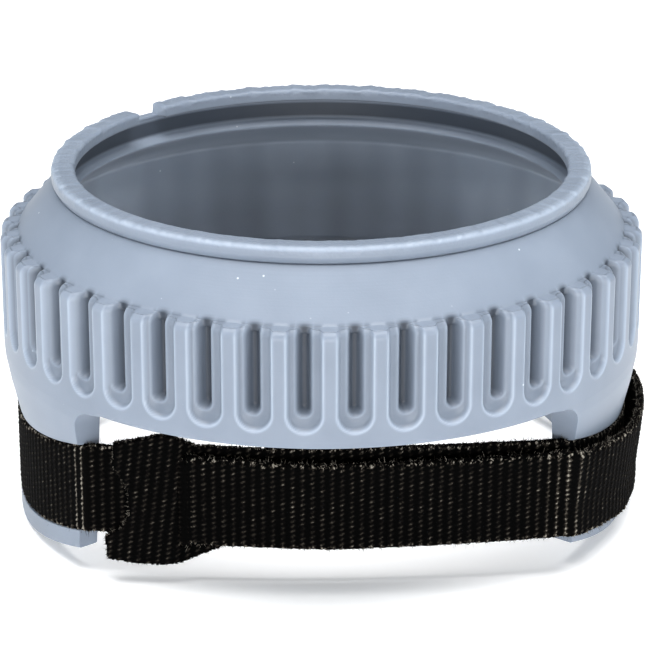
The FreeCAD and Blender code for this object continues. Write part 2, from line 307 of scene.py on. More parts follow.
DOME = 1.5                # rounding at the top of the belt's ribs
belt = np.concatenate([
    straight((BELT_R, 0.0), (BELT_R, 9.0), 34),
    straight((BELT_R, 9.0), (BELT_R, BELT_TOP - DOME + 0.3), 14),
    arc(BELT_R - DOME, BELT_TOP - DOME + 0.3, DOME, 0, 74, 9),
    straight((BELT_R - 1.0, BELT_TOP + 0.25), (SHOULDER_R, SHOULDER_Z - 0.1), 8),
])
CONE_POINTS = 22
above = np.concatenate([
    straight((SHOULDER_R, SHOULDER_Z), (CREASE_R, CREASE_Z), CONE_POINTS),
    arc(CREASE_R + 0.05, CREASE_Z + 0.25, 0.3, 200, 300, 3),
    arc(47.6, 30.5, 0.95, -40, 20, 5),
    arc(47.5, 31.3, 1.0, 8, 90, 7),
    straight((47.3, RIM_TOP), (45.2, RIM_TOP), 7),
    arc(45.0, RIM_TOP - 0.7, 0.7, 90, 180, 6),
    straight((LIP_BORE_R, 31.3), (LIP_BORE_R, 30.3), 4),
    arc(LIP_BORE_R + 0.3, 30.3, 0.3, 180, 270, 3),
    straight((44.9, LIP_LOW), (46.5, LIP_LOW), 4),
    arc(46.4, 29.6, 0.4, 90, 0, 4),
    straight((GROOVE_R, 29.3), (GROOVE_R, 26.1), 7),
    arc(46.3, 26.2, 0.5, 0, -60, 4),
    straight((46.2, 25.6), (45.7, 25.2), 3),
    arc(45.75, 24.8, 0.35, 110, 240, 5),
    straight((45.9, 24.3), (51.5, 19.8), 10),
    arc(51.0, 18.9, 1.0, 40, 0, 4),
    straight((BORE_R, 18.6), (BORE_R, -1.5), 16),
    np.array([[BORE_R, -SKIRT]]),
])
section = np.concatenate([belt, above])
print("section points:", len(section))

# %% [markdown]
# ## Grip scallops
# Round the belt run 43 upright scallops. Each is a shallow round-footed recess with
# a narrow deep slot inside it, and both run out at the top on to the cone. The mould
# opens towards the front and the back, so towards the sides the slots drift outward
# in their recesses. Measuring each point's distance from a scallop's middle line
# gives round feet and soft walls without cutting anything.

# %% Depth of the scallops
COUNT, PHASE = 43, -4.15
PITCH = 360.0 / COUNT
RECESS_HALF, SLOT_HALF = 3.0, 1.25
RECESS_FOOT, SLOT_FOOT = 3.1, 5.6
RECESS_CUT, DISH_CUT, SLOT_CUT = 1.05, 0.45, 2.3
DRIFT = 0.95              # how far a slot stands off its recess's middle, at most


def scallop_distances(angle, height):
    """Distance from the middle line of the nearest recess, and of its slot."""
    nearest = np.round((angle - PHASE) / PITCH) * PITCH + PHASE
    across = np.radians(angle - nearest) * BELT_R
    drift = DRIFT * np.sin(2.0 * np.radians(nearest))
    from_recess = np.hypot(across, np.minimum(height - (RECESS_FOOT + RECESS_HALF), 0.0))
    from_slot = np.hypot(across - drift, np.minimum(height - (SLOT_FOOT + SLOT_HALF), 0.0))
    return from_recess, from_slot


def scallop_depth(angle, height):
    """How deep the belt is cut at an angle from the front (degrees) and a height."""
    from_recess, from_slot = scallop_distances(angle, height)
    wall = ease(RECESS_HALF + 0.10, RECESS_HALF - 0.50, from_recess)
    dish = DISH_CUT * ease(RECESS_HALF - 0.4, SLOT_HALF, from_recess)
    slot = ease(SLOT_HALF + 0.20, SLOT_HALF - 0.80, from_slot)
    return RECESS_CUT * wall + dish + SLOT_CUT * slot


print(COUNT, "scallops,", round(math.radians(PITCH) * BELT_R, 2), "mm apart")

# %% [markdown]
# ## Where the legs leave the ring
# Each leg covers 82 degrees of the ring. Its edges run into the ring's foot through
# a concave corner. Over a leg the ring's lower edge is not rounded, because there the
# wall simply carries on downward.

# %% Leg places
LEG_HALF, FLARE = 41.0, 4.5
LEG_R = 55.0              # middle of a leg's wall
FLARE_DEG = math.degrees(FLARE / LEG_R)


def from_leg_middle(angle):
    """Degrees from the middle of the nearest leg, for angles from the front."""
    return np.abs(np.abs(np.mod(np.asarray(angle) + 180.0, 360.0) - 180.0) - 90.0)


# %% [markdown]
# ## Painted highlights and painted shade
# Light and shade are painted into the silicone's colour. A painted highlight makes the
# scallops' lips, the rim's bead and the upper bore paler, most at the bore's sides, and
# painted shade greys the slots, the recess floors, the accessory groove, the band under
# the ledge and the bore, most at its foot. Both are worked out from the same distances
# as the shape and stored on the mesh for the material.

# %% Store painted highlights and painted shade
def painted_edge_highlight(r, z, turn, from_recess, from_slot, on_belt):
    """Painted highlights: the scallops' lips, the rim's bead and the lit upper bore, paler at its
    sides.
    """
    # Painted highlight along the convex lips of the scallops and of their slots.
    lip = np.exp(-((from_recess - RECESS_HALF - 0.05) / 0.24) ** 2) * ease(20.5, 19.2, z)
    inner_lip = 0.55 * np.exp(-((from_slot - SLOT_HALF - 0.30) / 0.22) ** 2)
    # Painted highlight on the rim's bead.
    bead = 0.8 * np.exp(-((z - 31.9) / 0.35) ** 2) * (r > 47.2)
    # Painted light on the upper bore, paler towards the sides.
    in_bore = (r < BORE_R + 0.3) * ease(23.0, 20.0, z) * ease(4.0, 15.0, z)
    painted_bore_light = in_bore * (0.35 + 0.5 * np.abs(np.sin(turn)))
    return np.clip(np.maximum(lip, inner_lip) * on_belt + bead + painted_bore_light, 0.0, 1.0)


def painted_hollow_shade(r, z, turn, from_recess, from_slot, on_belt):
    """Painted shade: slots, recess floors, the accessory groove, under the ledge, and the bore,
    darker at its foot.
    """
    # Painted shade in the slots and on the recess floors.
    depth = ease(SLOT_HALF + 0.35, 0.15, from_slot) * on_belt
    floor_shade = 0.22 * ease(RECESS_HALF, RECESS_HALF - 0.5, from_recess) * on_belt
    within = r < SHOULDER_R - 0.8 * (z - SHOULDER_Z) - 1.2
    # Painted shade in the accessory groove and in the band under the ledge.
    groove = 0.9 * within * (r < 47.0) * ease(25.9, 26.6, z) * ease(30.4, 30.0, z)
    under_ledge = 0.4 * within * ease(19.2, 19.9, z) * ease(24.7, 24.2, z)
    # Painted shade down the bore, darker towards its foot, with soft vertical streaks.
    streak = (0.07 * np.sin(9 * turn + 1.0) + 0.06 * np.sin(17 * turn)
              + 0.05 * np.sin(41 * turn + 2.0))
    in_bore = (r < BORE_R + 0.3) * ease(21.0, 19.0, z)
    bore = in_bore * (0.05 + 0.30 * ease(17.0, 3.0, z) + streak)
    return np.clip(np.maximum(depth, floor_shade) + groove + under_ledge + bore, 0.0, 1.0)


def store_painted_light(piece):
    """Two values per point for the material: painted highlight and painted shade."""
    mesh = piece.data
    flat = np.empty(len(mesh.vertices) * 3)
    mesh.vertices.foreach_get("co", flat)
    x, y, z = (flat.reshape(-1, 3) / MM).T
    r, turn = np.hypot(x, y), np.arctan2(x, -y)
    on_belt = (r > 53.5) * ease(-0.5, 0.5, z) * ease(21.6, 20.6, z)
    place = (r, z, turn, *scallop_distances(np.degrees(turn), z), on_belt)
    for name, values in (("painted_highlight", painted_edge_highlight(*place)), ("painted_shade", painted_hollow_shade(*place))):
        kept = mesh.attributes.new(name, "FLOAT", "POINT")
        kept.data.foreach_set("value", values.astype(np.float32))
        print(name, "up to", round(float(values.max()), 2))


# %% [markdown]
# ## Building the ring
# The real ring comes out of its mould in one piece, so it is one mesh: the section
# above, carried round in narrow columns, with each column's points pushed in by the
# scallops, waved at the trimmed rim, and pressed down in the key notch. Moving the
# points of a grid keeps every wall clean, where cutting solids would leave slivers.

# %% Build the ring
PER_PITCH = 30            # columns to one scallop
NOTCH_AT, NOTCH_HALF = -135.0, math.degrees(3.75 / 47.0)


def ring_angles():
    """Every column of the ring, with close pairs where something changes suddenly."""
    evenly = np.arange(COUNT * PER_PITCH) * 360.0 / (COUNT * PER_PITCH) - 180.0
    sides = [NOTCH_AT - NOTCH_HALF, NOTCH_AT + NOTCH_HALF]
    pairs = [side + gap for side in sides for gap in (-0.16, -0.04, 0.04, 0.16)]
    edges = [s * 90.0 + t * (LEG_HALF + FLARE_DEG) for s in (-1, 1) for t in (-1, 1)]
    kept = evenly[np.min(np.abs(evenly[:, None] - np.array(pairs + edges)), axis=1) > 0.1]
    return np.sort(np.concatenate([kept, pairs, edges]))


def ring_points(angles):
    """The section carried round, with scallops, notch and a wavy trimmed rim."""
    turn = np.radians(angles)[None, :]
    r = np.repeat(section[:, :1], len(angles), axis=1)
    z = np.repeat(section[:, 1:], len(angles), axis=1)
    rows = len(belt)
    cut = scallop_depth(angles[None, :], z[:rows])
    r[:rows] = np.maximum(r[:rows] - cut, np.minimum(r[:rows], SHOULDER_R + 0.02))
    below_dome = section[:rows, 1:] < BELT_TOP - 0.9
    r[:rows] = np.where(below_dome, section[:rows, :1] - cut, r[:rows])
    leg_end = LEG_HALF + FLARE_DEG
    free = ease(leg_end, leg_end + 3.0, from_leg_middle(angles))[None, :]
    low = z[:rows] < EDGE
    drop = EDGE - np.sqrt(np.maximum(EDGE ** 2 - (EDGE - z[:rows]) ** 2, 0.0))
    r[:rows] = np.where(low, r[:rows] - drop * free, r[:rows])
    # The trimmed edge of the rim waves by about a tenth of a millimetre.
    wave = (0.10 * np.sin(37 * turn + 1.0) + 0.08 * np.sin(61 * turn)
            + 0.06 * np.sin(103 * turn + 2.0) + 0.05 * np.sin(171 * turn + 0.5))
    row = np.arange(len(section))[:, None]
    near_rim = ease(31.2, 32.2, z) * (section[:, :1] < 48.6) * (row > rows)
    r = r + wave * near_rim * np.where(section[:, :1] < 46.0, 1.0, 0.55)
    z = z + 0.6 * wave * near_rim
    over_leg = from_leg_middle(angles)[None, :] <= leg_end + 1e-9
    z = np.where(over_leg, np.maximum(z, 0.0), z)
    # Key notch: the rim and the lip are pressed down to the lip's underside.
    off = angles[None, :] - NOTCH_AT
    rounder = 0.22 * np.maximum(z - 31.0, 0.0) * (off > 0)
    in_notch = np.abs(off) < NOTCH_HALF - rounder
    upper = (row > rows + CONE_POINTS) & (section[:, 1:] >= LIP_LOW - 0.01)
    z = np.where(in_notch & upper, np.minimum(z, LIP_LOW + 0.15), z)
    r = np.where(in_notch & upper & (r < GROOVE_R), GROOVE_R, r)
    return np.stack([r * np.sin(turn), -r * np.cos(turn), z], axis=-1)


angles = ring_angles()
points = ring_points(angles)
faces = grid_faces(len(section), len(angles), close_columns=True)
# The foot of the wall is closed, except over the legs, where the wall carries on.
middles = (angles + np.roll(angles, -1)) / 2.0
middles[-1] = 180.0
last = (len(section) - 1) * len(angles)
here = np.where(from_leg_middle(middles) > LEG_HALF + FLARE_DEG)[0]
there = (here + 1) % len(angles)
foot = np.stack([last + here, last + there, there, here], axis=1)
ring_piece = make_piece("moulded_ring", points.reshape(-1, 3), np.concatenate([faces, foot]),
                        silicone, weld=WELD)
store_painted_light(ring_piece)
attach(ring_piece, "ring")
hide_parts("collar")

# %% [markdown]
# ## Clamp legs
# A leg is the same wall carried down: it thins to a channel for the tie, and ends in
# a small outward lip that stops the tie slipping off. The lip, the channel and the
# tie in it all dip lowest at the middle of the leg. Each leg is one grid of rows down
# the outside, under the foot and up the inside, closed at its two edges by flat end
# faces.

# %% Leg sizes
LEG_LOW, CHANNEL_R, LIP_R = -27.6, 54.4, 55.9
DIP, DIP_RUN = 4.7, 12.5  # how much lower a leg's middle is, and over what distance
CORNER_X = CHANNEL_R * math.cos(math.radians(LEG_HALF))
SLANT = 4.5               # the leg's edges lean in downwards, degrees
CHANNEL_TOP = -6.9        # top of the tie's channel beside a leg's edge
CHANNEL_LOW = -23.2
DIP_R = 55.5              # radius at which the dip of a leg's column is read


def dip_at(across):
    """How much lower the foot and the tie are, at a distance across from the axis."""
    return DIP * np.clip((np.abs(across) - CORNER_X) / DIP_RUN, 0.0, 1.0)


def taper_r(z):
    """Outer radius of a leg above the tie's channel."""
    return np.interp(-z, [0.0, 2.0, 6.0, 13.0, 20.0], [58.0, 57.85, 57.1, 55.45, 54.6])


lip_outside = np.concatenate([
    straight((CHANNEL_R, -24.0), (LIP_R - 0.3, -24.0), 3),
    arc(LIP_R - 0.3, -24.3, 0.3, 90, 0, 3),
    straight((LIP_R, -24.4), (LIP_R, LEG_LOW + 0.6), 5),
    arc(LIP_R - 0.5, LEG_LOW + 0.5, 0.5, 0, -90, 5),
])
under = np.concatenate([straight((55.3, LEG_LOW), (52.4, LEG_LOW), 6),
                        arc(52.3, LEG_LOW + 0.3, 0.3, 270, 180, 4)])
foot_section = np.concatenate([lip_outside, under])
WALL_LOW = -27.0          # lowest row of a leg's inner wall, before the dip
wall_z = np.linspace(WALL_LOW, 0.0, 30)[:, None]
print("a leg dips by up to", round(float(dip_at(LEG_R)), 2), "mm")


# %% Points of a leg
def leg_section(drop):
    """Radius and height of every row, for columns that dip by the given drops."""
    top = CHANNEL_TOP - drop
    taper_z = np.linspace(0.0, 1.0, 28)[:, None] * top
    step_z = top - np.array([[0.3], [0.6], [0.8]])
    step_r = CHANNEL_R + np.array([[0.8], [0.25], [0.0]]) * (taper_r(top) - CHANNEL_R)
    channel_z = top - 0.8 + np.linspace(0.1, 0.95, 6)[:, None] * (CHANNEL_LOW - drop - top)
    inner_z = wall_z - drop * ease(0.0, WALL_LOW, wall_z)
    foot_r = np.repeat(foot_section[:, :1], drop.size, axis=1)
    r = np.concatenate([taper_r(taper_z), step_r, np.full_like(channel_z, CHANNEL_R), foot_r,
                        np.full_like(inner_z, BORE_R)])
    z = np.concatenate([taper_z, step_z, channel_z, foot_section[:, 1:] - drop, inner_z])
    return r, z


def leg_grid(side, offsets):
    """Points of a leg at offsets (degrees) from its middle."""
    r, z = leg_section(dip_at(DIP_R * np.cos(np.radians(offsets)))[None, :])
    corner = np.abs(offsets)[None, :] > LEG_HALF + 1e-9
    lean = math.degrees(math.tan(math.radians(SLANT)) / LEG_R)
    shift = np.where(corner, 0.0, lean * np.maximum(-z - FLARE, 0.0))
    shift = shift * offsets[None, :] / LEG_HALF
    polar = np.radians(offsets[None, :] - shift + (0.0 if side > 0 else 180.0))
    # In a corner the wall ends on a quarter circle; lower rows are drawn up to it.
    past = np.radians(np.abs(offsets) - LEG_HALF)[None, :] * LEG_R
    rise = FLARE ** 2 - (FLARE - np.maximum(past, 0.0)) ** 2
    lowest = -FLARE + np.sqrt(np.maximum(rise, 0.0))
    hidden = corner & (z < lowest)
    outer_row = np.arange(len(z))[:, None] < len(z) - len(wall_z) - len(under)
    r = np.where(hidden & outer_row, taper_r(lowest), r)
    foot_r = BELT_R - EDGE
    skirt = -SKIRT * np.clip((foot_r - r) / (foot_r - BORE_R), 0.0, 1.0)
    z = np.where(hidden, np.minimum(lowest, skirt), z)
    return np.stack([r * np.cos(polar), r * np.sin(polar), z], axis=-1)


# %% Build the legs
def end_face(edge):
    """The outline of a leg's flat end, from one edge column of its grid."""
    unit = edge[-1][:2] / np.hypot(*edge[-1][:2])
    top = [*(unit * float(taper_r(-FLARE))), -FLARE]
    bottom_rows = edge[edge[:, 2] < -FLARE + 1e-6]
    return np.concatenate([[top], bottom_rows, [[*(unit * BORE_R), -FLARE]]])


def build_leg(side, name):
    """One leg: the curved wall, its two concave corners and its two end faces."""
    main = np.linspace(-LEG_HALF, LEG_HALF, 150)
    corner = LEG_HALF + 1e-6 + np.degrees(np.linspace(0.0, 1.0, 14) ** 1.6 * FLARE / LEG_R)
    parts = [leg_grid(side, offsets) for offsets in (main, corner, -corner[::-1])]
    verts, quads, base = [], [], 0
    for part in parts:
        rows, columns = part.shape[:2]
        verts.append(part.reshape(-1, 3))
        quads += (grid_faces(rows, columns) + base).tolist()
        base += rows * columns
    for column in (0, len(main) - 1):
        loop = end_face(parts[0][:, column])
        verts.append(loop)
        ids = list(range(base, base + len(loop)))
        quads.append(ids if column == 0 else ids[::-1])
        base += len(loop)
    piece = make_piece(name, np.concatenate(verts), quads, silicone, weld=WELD)
    work = bmesh.new()
    work.from_mesh(piece.data)
    bmesh.ops.recalc_face_normals(work, faces=work.faces)
    for line in work.edges:
        if len(line.link_faces) == 2 and line.calc_face_angle(0.0) > math.radians(40):
            line.smooth = False
    work.to_mesh(piece.data)
    work.free()
    return piece


for side, body, node in ((1, "right_leg", "clamp_leg_right"),
                         (-1, "left_leg", "clamp_leg_left")):
    leg = build_leg(side, "silicone_" + body)
    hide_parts(node)
    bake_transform(leg)

# %% [markdown]
# ## The path of the tie
# Seen from above, the tie lies in the channels of the legs and spans straight across
# the front and the back, bowed out a little. The path is the inner face of the tape,
# moved out by an offset for each layer, and rounded where it turns over a leg's edge.

# %% Path of the tie
TAPE_WIDTH, TAPE_THICK, LAYER = 16.0, 1.6, 2.5
TAPE_LOW, BOW, TAIL_DROP = -23.6, 2.5, 1.6
CORNER_Y = CHANNEL_R * math.sin(math.radians(LEG_HALF))
BOW_R = (CORNER_X ** 2 + BOW ** 2) / (2.0 * BOW)
BOW_HALF = math.degrees(math.asin(CORNER_X / BOW_R))


def turn_about(centre, radius, start, end, step=0.25):
    """Path points on an arc, angles in degrees from +X."""
    count = max(int(abs(math.radians(end - start)) * radius / step), 6)
    a = np.radians(np.linspace(start, end, count))
    return np.stack([centre[0] + radius * np.cos(a), centre[1] + radius * np.sin(a)], axis=1)


def loop_path(offset):
    """Once round the loop from the middle of the front, by way of the right leg."""
    bow_centre = CORNER_Y + BOW - BOW_R
    up, half = LEG_HALF, BOW_HALF
    return np.concatenate([
        turn_about((0, -bow_centre), BOW_R + offset, -90, -90 + half),
        turn_about((CORNER_X, -CORNER_Y), offset, -90 + half, -up),
        turn_about((0, 0), CHANNEL_R + offset, -up, up),
        turn_about((CORNER_X, CORNER_Y), offset, up, 90 - half),
        turn_about((0, bow_centre), BOW_R + offset, 90 - half, 90 + half),
        turn_about((-CORNER_X, CORNER_Y), offset, 90 + half, 180 - up),
        turn_about((0, 0), CHANNEL_R + offset, 180 - up, 180 + up),
        turn_about((-CORNER_X, -CORNER_Y), offset, 180 + up, 270 - half),
        turn_about((0, -bow_centre), BOW_R + offset, 270 - half, 270),
    ])


def even_steps(path, step):
    """The same path in equal steps, with each point's distance along it."""
    moves = np.hypot(*np.diff(path, axis=0).T)
    keep = np.concatenate([[True], moves > 1e-6])
    path = path[keep]
    along = np.concatenate([[0.0], np.cumsum(np.hypot(*np.diff(path, axis=0).T))])
    wanted = np.arange(0.0, along[-1], step)
    return np.stack([np.interp(wanted, along, path[:, k]) for k in (0, 1)], axis=1), wanted


def front_distance(x):
    """How far the inner face of the tie is from the X axis, at the front."""
    return CORNER_Y + BOW - (BOW_R - np.sqrt(BOW_R ** 2 - np.asarray(x) ** 2))


print("loop length", round(float(even_steps(loop_path(0.8), 0.5)[1][-1]), 1), "mm")

# %% [markdown]
# ## Weave
# The tape's face is rows of small knots in upright ribs. The real ribs are 1.7 mm
# apart and the knots about 0.95 mm, which shows at this size, so both are true. Each
# knot stands a different height, and the edges are tufted where the yarn turns back.

# %% Weave height
RIB, KNOT = 1.7, 0.95
dice = np.random.default_rng(7)
KNOT_LIFT = dice.uniform(0.35, 1.0, (700, 40))


def weave(along, across):
    """Height from 0 to 1 of the weave, along the tape and across it."""
    rib = along / RIB
    number = np.floor(rib)
    knot = across / KNOT + 0.5 * np.mod(number, 2)
    row = np.floor(knot)
    lean = 0.10 * np.sin(2.0 * np.pi * knot)
    rib_shape = np.maximum(np.cos(2.0 * np.pi * (rib - number - 0.5 + lean)), -0.3)
    knot_shape = 0.5 - 0.5 * np.cos(2.0 * np.pi * (knot - row))
    lift = KNOT_LIFT[np.mod(number, 700).astype(int), np.mod(row, 40).astype(int)]
    return np.clip((0.35 + 0.5 * rib_shape) * (0.35 + 0.65 * knot_shape * lift), 0.0, 1.0)


def on_crest(along):
    """The nearest rib's crest."""
    return (math.floor(along / RIB) + 0.5) * RIB


# %% [markdown]
# ## Tape along a path
# The tape is one band, so it is one closed section carried along a path: the outer
# face, the top edge, the inner face and the low edge. Both faces are pushed out by
# the weave. At its edges the tape is thinner, because there the yarn turns back.

# %% Tape along a path
TAPE_ROWS = 72            # points across one face
WEAVE_RELIEF = 0.30       # how far a full crown stands out, millimetres
GAP_DEPTH = 0.16          # how far the weave's gaps lie under the tape's plain face


def tape_section(count):
    """Round the tape once: per row, across 0..1, outward -1..1, share of weave shown."""
    v = np.linspace(0.0, 1.0, count)
    outer = np.stack([v, np.ones(count), np.ones(count)], axis=1)
    top = np.array([[1.012, 0.6, 0.5], [1.016, 0.0, 0.4], [1.012, -0.6, 0.5]])
    inner = np.stack([v[::-1], -np.ones(count), np.ones(count)], axis=1)
    low = np.array([[-0.012, -0.6, 0.5], [-0.016, 0.0, 0.4], [-0.012, 0.6, 0.5]])
    return np.concatenate([outer, top, inner, low])


def make_tape(path, along, low, highlight_columns, tilt):
    """A woven band along a path; low is the height of its lower edge at each point.

    highlight_columns lists (place, strength) of columns painted paler as highlights; tilt leans the
    top edge outward.
    """
    tangent = np.gradient(path, axis=0)
    tangent /= np.hypot(*tangent.T)[:, None]
    outward = np.stack([tangent[:, 1], -tangent[:, 0]], axis=1)
    rows = tape_section(TAPE_ROWS)
    v, side, lift = rows[:, :1], rows[:, 1:2], rows[:, 2:]
    height = weave(along[None, :], v * TAPE_WIDTH)
    near_edge = ease(0.93, 1.0, v) + ease(0.07, 0.0, v)
    tuft = np.random.default_rng(len(path)).uniform(0.0, 1.0, height.shape)
    height = height * (1.0 - 0.5 * near_edge) + near_edge * 1.3 * tuft ** 2 * (height > 0.15)
    # Painted highlight: the weave's height, shown less on the edges, sets how pale each point is.
    crown_highlight = height * lift
    # Painted highlights: some columns of the weave are made paler.
    for place, strength in highlight_columns:
        crown_highlight = crown_highlight + strength * np.exp(-((along[None, :] - place) / 0.24) ** 2) * (height > 0.22)
    half = TAPE_THICK / 2.0 - GAP_DEPTH
    thin = 1.0 - 0.45 * near_edge ** 2
    off = side * half * thin + np.sign(side) * WEAVE_RELIEF * height * (np.abs(side) > 0.9)
    off = off + tilt * np.maximum(v - 0.3, 0.0) * ease(-19.0, -5.0, along)[None, :]
    z = low[None, :] + v * TAPE_WIDTH + 0.25 * near_edge * (tuft - 0.3) * np.sign(v - 0.5)
    x = path[None, :, 0] + off * outward[None, :, 0]
    y = path[None, :, 1] + off * outward[None, :, 1]
    points = np.stack([x, y, z], axis=-1)
    faces = grid_faces(len(rows), len(path), close_rows=True).tolist()
    for column in (0, len(path) - 1):
        loop = [row * len(path) + column for row in range(len(rows))]
        faces.append(loop if column == 0 else loop[::-1])
    return points, faces, crown_highlight, outward


# %% [markdown]
# ## Fluff
# Hook-and-loop tape is never clean at its edges: cut loops stand up as short curled
# fibres, and they catch the light against the black; each fibre gets a painted
# highlight of its own paleness. Each fibre is a thin three-sided tube of three joints,
# a little thicker than the real yarn so that it shows.

# %% Fibres
FIBRE_R = 0.045
FLUFF_PER_MM, UPPER_SHARE = 14.0, 0.62


def add_fluff(points, faces, crown_highlight, starts, directions, length, seed):
    """Append fibres that start at given points and lean along given directions."""
    toss = np.random.default_rng(seed)
    count = len(starts)
    lean = directions + toss.normal(0.0, 0.55, (count, 3))
    lean /= np.linalg.norm(lean, axis=1)[:, None]
    bend = toss.normal(0.0, 0.6, (count, 3))
    size = length * toss.uniform(0.35, 1.0, count)[:, None]
    rings = []
    for step in (0.0, 0.5, 1.0):
        centre = starts + lean * size * step + bend * size * step ** 2 * 0.5
        for k in range(3):
            a = 2.0 * math.pi * k / 3.0
            across = np.cross(lean, [0.3, 0.2, 0.9])
            across /= np.linalg.norm(across, axis=1)[:, None]
            other = np.cross(lean, across)
            thick = FIBRE_R * (1.0 - 0.6 * step)
            rings.append(centre + thick * (math.cos(a) * across + math.sin(a) * other))
    fibre_points = np.stack(rings, axis=1).reshape(-1, 3)
    base = len(points) + 9 * np.arange(count)[:, None, None]
    quads = []
    for step in (0, 3):
        for k in range(3):
            quads.append([step + k, step + (k + 1) % 3, step + 3 + (k + 1) % 3, step + 3 + k])
    quads = (base + np.array(quads)[None]).reshape(-1, 4).tolist()
    # Painted highlight: each fibre is given its own paleness, for the light it catches.
    shade = np.repeat(toss.uniform(0.25, 1.15, count), 9)
    return np.concatenate([points, fibre_points]), faces + quads, np.concatenate([crown_highlight, shade])


def tape_piece(name, path, along, low, highlight_columns=(), tilt=0.0):
    """A finished length of tape with its weave, its fluff and its painted crown highlights."""
    points, faces, crown_highlight, outward = make_tape(path, along, low, highlight_columns, tilt)
    rows, columns = points.shape[:2]
    toss = np.random.default_rng(columns)
    number = int(FLUFF_PER_MM * (along[-1] - along[0]))
    column = toss.integers(1, columns - 1, number)
    upper = toss.random(number) < UPPER_SHARE
    # Rows of the top and low edges, with a row or two of the faces.
    high_row = toss.integers(TAPE_ROWS - 2, TAPE_ROWS + 6, number)
    low_row = toss.integers(2 * TAPE_ROWS + 1, 2 * TAPE_ROWS + 7, number) % rows
    row = np.where(upper, high_row, low_row)
    starts = points[row, column]
    aim = np.zeros((number, 3))
    aim[:, 2] = np.where(upper, 1.0, -1.0)
    aim[:, :2] = outward[column] * toss.normal(0.0, 0.5, number)[:, None]
    return finish_tape(name, *add_fluff(points.reshape(-1, 3), faces, crown_highlight.ravel(), starts, aim,
                                        0.75, columns))


def finish_tape(name, points, faces, crown_highlight):
    """Make the mesh and store the painted crown highlights for the material."""
    piece = make_piece(name, points, faces, nylon)
    store = piece.data.attributes.new("crown_highlight", "FLOAT", "POINT")
    store.data.foreach_set("value", np.clip(crown_highlight, 0.0, 1.6).astype(np.float32))
    return piece


# %% [markdown]
# ## The loop of tape
# One tape makes the whole tie. It starts at the slotted head, runs under the tail
# across the front, over the right leg, across the back, over the left leg, and comes
# out through the slot. It is built in two lengths that meet at the middle of the
# back.

# %% Loop lengths
STEP = 0.2
FEED_END_X, LAP_START_X = -23.9, -10.4


def tape_low(x, drop=0.0):
    """Height of the tape's lower edge; drop lowers it towards the left."""
    lean = drop * (np.clip(x, -CORNER_X, CORNER_X) / (2.0 * CORNER_X) - 0.5)
    return TAPE_LOW + lean - dip_at(x)


whole, along = even_steps(loop_path(TAPE_THICK / 2.0), STEP)
# The tape is parted at the middle of the back.
back_middle = int(np.argmax(whole[:, 1] - 100.0 * (np.abs(whole[:, 0]) > 0.5)))
left_run = whole[back_middle:].copy()
left_along = along[back_middle:]
# Close to the slot the tape steps out by one layer, to pass through the head.
front_left = np.where((left_run[:, 1] < 0) & (left_run[:, 0] > FEED_END_X))[0]
left_run, left_along = left_run[:front_left[0]], left_along[:front_left[0]]
passing = ease(-27.8, -24.3, left_run[:, 0]) * (left_run[:, 1] < 0)
left_run[:, 1] -= LAYER * passing
left_drop = TAIL_DROP * np.clip((left_run[:, 0] + CORNER_X) / (2.0 * CORNER_X) - 1.0, -1.0, 0.0)
left_drop = left_drop * ease(-CORNER_X, -24.0, left_run[:, 0]) * (left_run[:, 1] < 0)

lap_x = np.arange(LAP_START_X, 0.0, STEP)
lap = np.stack([lap_x, -(front_distance(lap_x) + TAPE_THICK / 2.0)], axis=1)
right_run = np.concatenate([lap, whole[:back_middle + 1]])
right_along = np.concatenate([lap_x, along[:back_middle + 1]])

right_tape = tape_piece("tape_right_run", right_run, right_along, tape_low(right_run[:, 0]))
left_corner = left_along[np.argmin(np.hypot(left_run[:, 0] + 43.2, left_run[:, 1] + 35.2))]
# Painted highlights on two columns of the weave where the left run turns over the leg's edge.
left_highlight_columns = [(on_crest(left_corner) + RIB * k, 0.5) for k in (0, 1)]
left_tape = tape_piece("tape_left_run", left_run, left_along, tape_low(left_run[:, 0]) + left_drop,
                       highlight_columns=left_highlight_columns)
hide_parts("strap_front_lap", "strap_right_wrap", "strap_back_span")
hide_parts("strap_feed", "strap_left_wrap")
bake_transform(right_tape)
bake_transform(left_tape)

# %% [markdown]
# ## The tail
# The tail comes out of the slot and lies over the front lap and the right leg, held
# by its hooks. It peels off in two stretches: from the slot, and from the leg's edge.
# It is built in two lengths, parted 10 mm right of the middle of the front.

# %% Tail
TAIL_END_ANGLE, TAIL_TILT, SPLIT_X = 21.7, 1.6, 10.0
outer, outer_along = even_steps(loop_path(LAYER + TAPE_THICK / 2.0), STEP)
outer_angle = np.degrees(np.arctan2(outer[:, 1], outer[:, 0]))
to_end = int(np.argmax((outer[:, 0] > 20) & (outer_angle > TAIL_END_ANGLE)))
start_x = np.arange(-24.1, 0.0, STEP)
lead = np.stack([start_x, -(front_distance(start_x) + LAYER + TAPE_THICK / 2.0)], axis=1)
tail_path = np.concatenate([lead, outer[:to_end]])
tail_along = np.concatenate([start_x, outer_along[:to_end]])
split = int(np.argmax(tail_path[:, 0] > SPLIT_X))
from_corner = np.abs(tail_path[:, 0] - 36.5) + 100.0 * (tail_path[:, 1] > 0)
right_corner = tail_along[np.argmin(from_corner)]
# Painted highlights on six columns of the weave where the tail turns over the right leg's edge.
tail_highlight_columns = [(on_crest(right_corner) + RIB * k, shine)
               for k, shine in enumerate((0.1, 0.22, 0.3, 0.34, 0.34, 0.15))]
# The tail hangs a little lower than the lap behind it, and leans out at its top.
tail_low = tape_low(tail_path[:, 0], TAIL_DROP)
tail_low += np.interp(tail_path[:, 0], [-24, -18, 0, 40, 50], [0.6, 0.1, -1.0, -0.9, 0.6])
